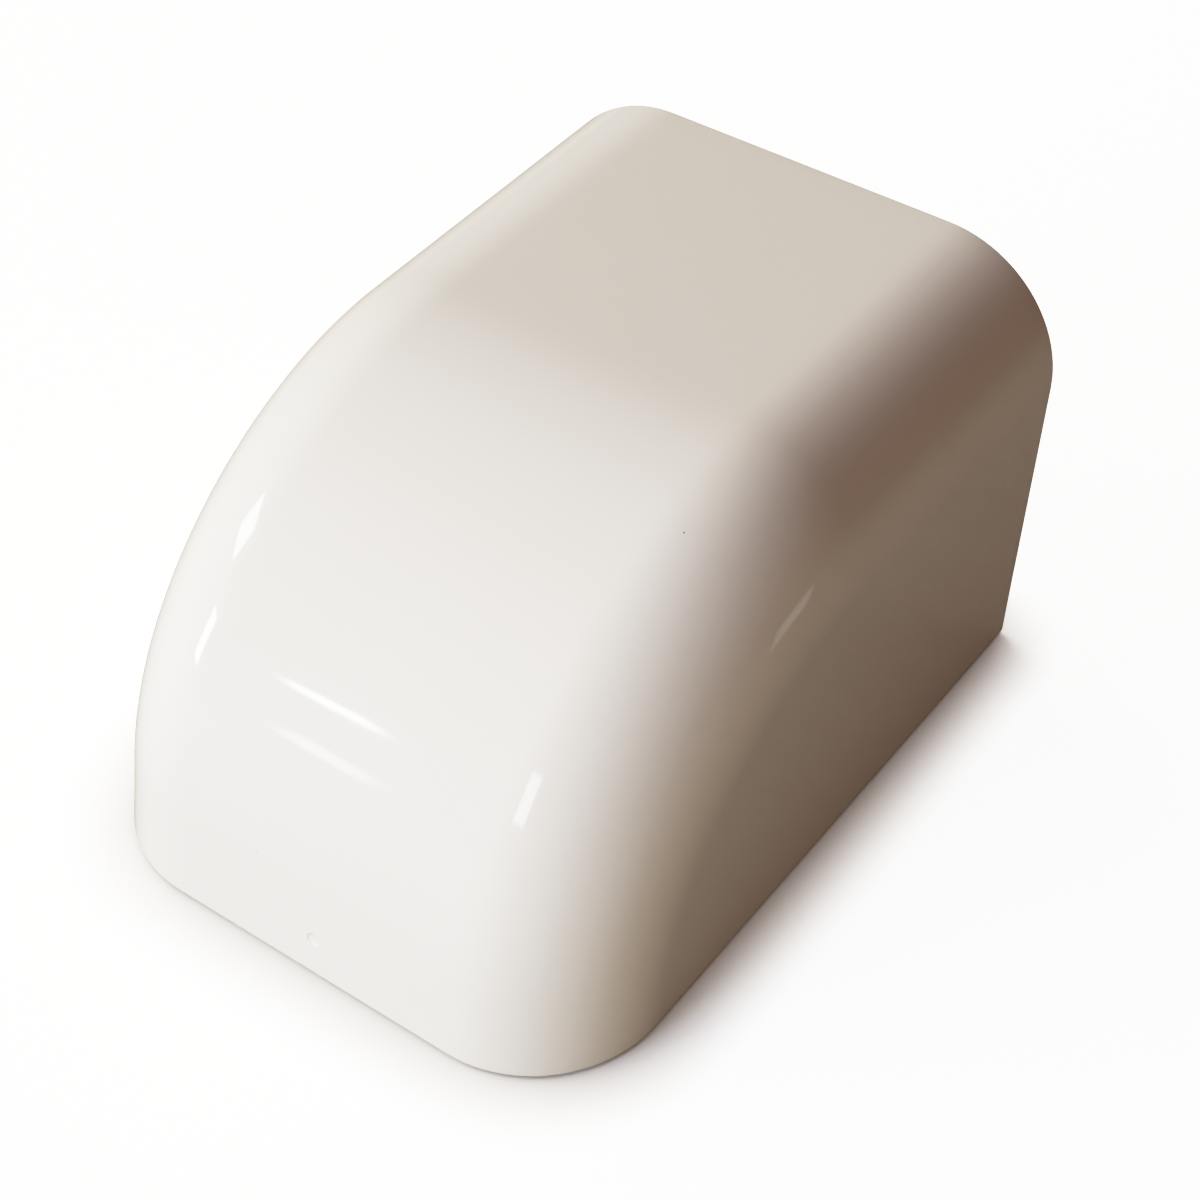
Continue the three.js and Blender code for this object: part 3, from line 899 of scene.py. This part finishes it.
def direction(azimuth, elevation):
    """Unit vector from the case outwards. Azimuth 0 is in front of the nose, 90 is +X."""
    flat = math.cos(elevation)
    return Vector((math.sin(azimuth) * flat, -math.cos(azimuth) * flat, math.sin(elevation)))


def make_camera():
    """The camera at the photograph's viewing angle."""
    back = direction(CAMERA_AZIMUTH, CAMERA_ELEVATION)
    right = Vector((math.cos(CAMERA_AZIMUTH), math.sin(CAMERA_AZIMUTH), 0))
    up = back.cross(right)
    turned_right = right * math.cos(CAMERA_ROLL) + up * math.sin(CAMERA_ROLL)
    turned_up = up * math.cos(CAMERA_ROLL) - right * math.sin(CAMERA_ROLL)
    aim = right * CAMERA_SIDE_AIM + Vector((0, 0, CAMERA_AIM_HEIGHT))
    turn = Matrix((turned_right, turned_up, back)).transposed()
    camera = bpy.data.objects.new("camera", bpy.data.cameras.new("camera"))
    camera.matrix_world = Matrix.Translation(aim + back * CAMERA_DISTANCE) @ turn.to_4x4()
    camera.data.lens = CAMERA_LENS
    camera.data.sensor_width = FULL_FRAME_WIDTH
    camera.data.clip_start = CAMERA_NEAR
    bpy.context.scene.collection.objects.link(camera)
    bpy.context.scene.camera = camera


FLOOR_SIDE = 20
FLOOR_COLOUR = (0.86, 0.855, 0.85, 1)
FLOOR_BOUNCE = (0.35, 0.32, 0.28, 1)
FLOOR_GLOW = 1.6
FLOOR_GLOW_COLOUR = (1, 0.995, 0.99, 1)
CONTACT_REACH = 9 * MM
CONTACT_DEPTH = 4


def make_floor():
    """A pale floor with a soft contact shadow. It glows for the camera and bounces light dimly."""
    bm = bmesh.new()
    bmesh.ops.create_grid(bm, x_segments=1, y_segments=1, size=FLOOR_SIDE / 2)
    nodes = Nodes("pale_floor")
    nodes.set(Base_Color=FLOOR_COLOUR, Roughness=0.9, Specular_IOR_Level=0)
    openness = nodes.add("ShaderNodeAmbientOcclusion", Distance=CONTACT_REACH, samples=8)
    contact = nodes.add("ShaderNodeMath", operation="POWER")
    contact.inputs[1].default_value = CONTACT_DEPTH
    nodes.join(openness, "AO", contact, 0)
    brightness = nodes.add("ShaderNodeMath", operation="MULTIPLY")
    brightness.inputs[1].default_value = FLOOR_GLOW
    nodes.join(contact, "Value", brightness, 0)
    glow = nodes.add("ShaderNodeEmission", Color=FLOOR_GLOW_COLOUR)
    nodes.join(brightness, "Value", glow, "Strength")
    seen = nodes.add("ShaderNodeAddShader")
    nodes.join(nodes.shader, "BSDF", seen, 0)
    nodes.join(glow, "Emission", seen, 1)
    dim = nodes.add("ShaderNodeBsdfDiffuse", Color=FLOOR_BOUNCE)
    path = nodes.add("ShaderNodeLightPath")
    pick = nodes.add("ShaderNodeMixShader")
    nodes.join(path, "Is Camera Ray", pick, 0)
    nodes.join(dim, "BSDF", pick, 1)
    nodes.join(seen, "Shader", pick, 2)
    output = nodes.tree.nodes["Material Output"]
    nodes.join(pick, "Shader", output, "Surface")
    make_object("floor", bm, nodes.material, smooth=False)


# Lights: azimuth and elevation in degrees, width and height in metres, radiance, colour, roll in
# degrees, and a distance where it isn't LIGHT_DISTANCE.
# The soft lights shade the case, and the sheens are seen only in its gloss.
LIGHT_DISTANCE = 1.2
# ROOM is what lights the case from all round, and PALE_WALL is what the camera sees there
ROOM = (0.08, 0.015, 0.005)
PALE_WALL = (1.8, 1.79, 1.77)
WHITE = (1, 1, 1)
SKY = (0.7, 0.8, 1)
SUNLIT = (1, 0.95, 0.8)
PLASTER = (1, 0.97, 0.8)
WARM = (1, 0.9, 0.65)
SOFT_LIGHTS = {
    "front_window": (-20, 15, 0.45, 0.55, 13, SKY, 0),
    "left_window": (-50, 30, 0.8, 0.6, 7, SUNLIT, 0),
    "left_wall": (-100, 30, 1.2, 0.6, 4.2, PLASTER, 0),
    "right_wall": (20, 7, 0.6, 0.15, 4.7, WARM, 0, 0.6),
    "back_wall": (190, 5, 0.5, 0.2, 16, WHITE, 0),
}
SHEENS = {
    "high_pane": (-60, 27, 0.24, 0.2, 18, WHITE, 0),
    "low_pane": (-44.5, 9, 0.12, 0.25, 24, WHITE, 0),
    "sash": (-28, 14.5, 0.055, 0.025, 40, WHITE, 20),
    "sill": (-26.5, 3, 0.06, 0.05, 8, WHITE, -10),
    "far_pane": (-3, 20.5, 0.18, 0.27, 10, WHITE, 0),
    "low_glint": (113, -6, 0.03, 0.025, 1, WHITE, 0, 0.2),
}


def area_light(name, azimuth, elevation, width, height, radiance, colour, roll,
               distance=LIGHT_DISTANCE):
    """A rectangular light aimed at the case's middle, unseen by the camera."""
    light = bpy.data.lights.new(name, "AREA")
    light.shape = "RECTANGLE"
    light.size, light.size_y = width, height
    light.energy = radiance * math.pi * width * height
    light.color = colour
    lamp = bpy.data.objects.new(name, light)
    outward = direction(math.radians(azimuth), math.radians(elevation))
    middle = Vector((0, 0, (COVER_LOW.z + COVER_HIGH.z) / 2))
    facing = outward.to_track_quat("Z", "Y").to_matrix()
    turn = facing @ Matrix.Rotation(math.radians(roll), 3, "Z")
    lamp.matrix_world = Matrix.Translation(middle + outward * distance) @ turn.to_4x4()
    lamp.visible_camera = False
    bpy.context.scene.collection.objects.link(lamp)
    return lamp


def make_room():
    """A dim warm room, with a pale wall behind the floor for the camera."""
    world = bpy.data.worlds.new("room")
    bpy.context.scene.world = world
    world.use_nodes = True
    tree = world.node_tree
    tree.nodes.clear()
    path = tree.nodes.new("ShaderNodeLightPath")
    pick = tree.nodes.new("ShaderNodeMixShader")
    output = tree.nodes.new("ShaderNodeOutputWorld")
    tree.links.new(path.outputs["Is Camera Ray"], pick.inputs[0])
    for socket, colour in ((1, ROOM), (2, PALE_WALL)):
        background = tree.nodes.new("ShaderNodeBackground")
        background.inputs["Color"].default_value = (*colour, 1)
        tree.links.new(background.outputs[0], pick.inputs[socket])
    tree.links.new(pick.outputs[0], output.inputs["Surface"])


def make_lights():
    """The soft lights stay out of the gloss, and the sheens add no light to the shading."""
    for name, values in SOFT_LIGHTS.items():
        area_light(name, *values).visible_glossy = False
    for name, values in SHEENS.items():
        area_light(name, *values).visible_diffuse = False
    make_room()


# Bright parts keep their shape: above the shoulder, brightness is pressed together
SHOULDER = 0.5
WHITE_LEVEL = 2.5
CURVE_LIGHTS = (SHOULDER / 2, SHOULDER, 0.65, 0.8, 1.0, 1.3, 1.7)
COMBINED_CURVE = 3


def soften_highlights():
    """Sets the view's tone curve: straight up to the shoulder, then levelling off to white."""
    settings = bpy.context.scene.view_settings
    settings.view_transform = "Standard"
    settings.use_curve_mapping = True
    mapping = settings.curve_mapping
    mapping.white_level = (WHITE_LEVEL, WHITE_LEVEL, WHITE_LEVEL)
    curve = mapping.curves[COMBINED_CURVE]
    curve.points[0].location = (0, 0)
    curve.points[1].location = (1, 1)
    for light in CURVE_LIGHTS:
        past = max(0, light - SHOULDER) / (1 - SHOULDER)
        shown = min(light, SHOULDER) + (1 - SHOULDER) * (1 - math.exp(-past))
        curve.points.new(light / WHITE_LEVEL, shown)
    for point in curve.points:
        point.handle_type = "AUTO_CLAMPED"
    mapping.update()


# ---- Making it ----

def fit(piece, body, slot, *nodes):
    """Puts a piece on its body, in place of its CAD nodes, which it hides. slot is not used."""
    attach(piece, body)
    if nodes:
        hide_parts(*nodes)


make_camera()
make_floor()
make_lights()
soften_highlights()

chalk_material = chalk()
foam_pad = make_foam(foam())
foot_material = rubber()
inner_plastic = satin_plastic("inner_white_plastic", INNER_WHITE, COARSE_GRAIN)
tray_plastic = satin_plastic("tray_plastic", TRAY_GREY, FINE_GRAIN)
grid_plastic = satin_plastic("grid_plastic", GRID_GREY, FINE_GRAIN)

fit(make_cover(gloss_plastic(), inner_plastic), "cover", "cover_plastic", "cover")
fit(foam_pad, "cover", "pad_foam", "pressure_pad")
fit(make_tray(tray_plastic), "base", "tray_plastic", "base_tray")
fit(make_seal(silicone()), "base", "seal_silicone", "seal_ring")
fit(make_grid(grid_plastic), "base", "grid_plastic", "dust_grid")
fit(make_chalk(chalk_material), "base", "chalk", "chalk_block")
fit(make_crumbs(chalk_material), "base", "chalk")
for node in FOOT_NODES:
    fit(make_foot("rubber_" + node, node, foot_material), "base", "foot_rubber", node)
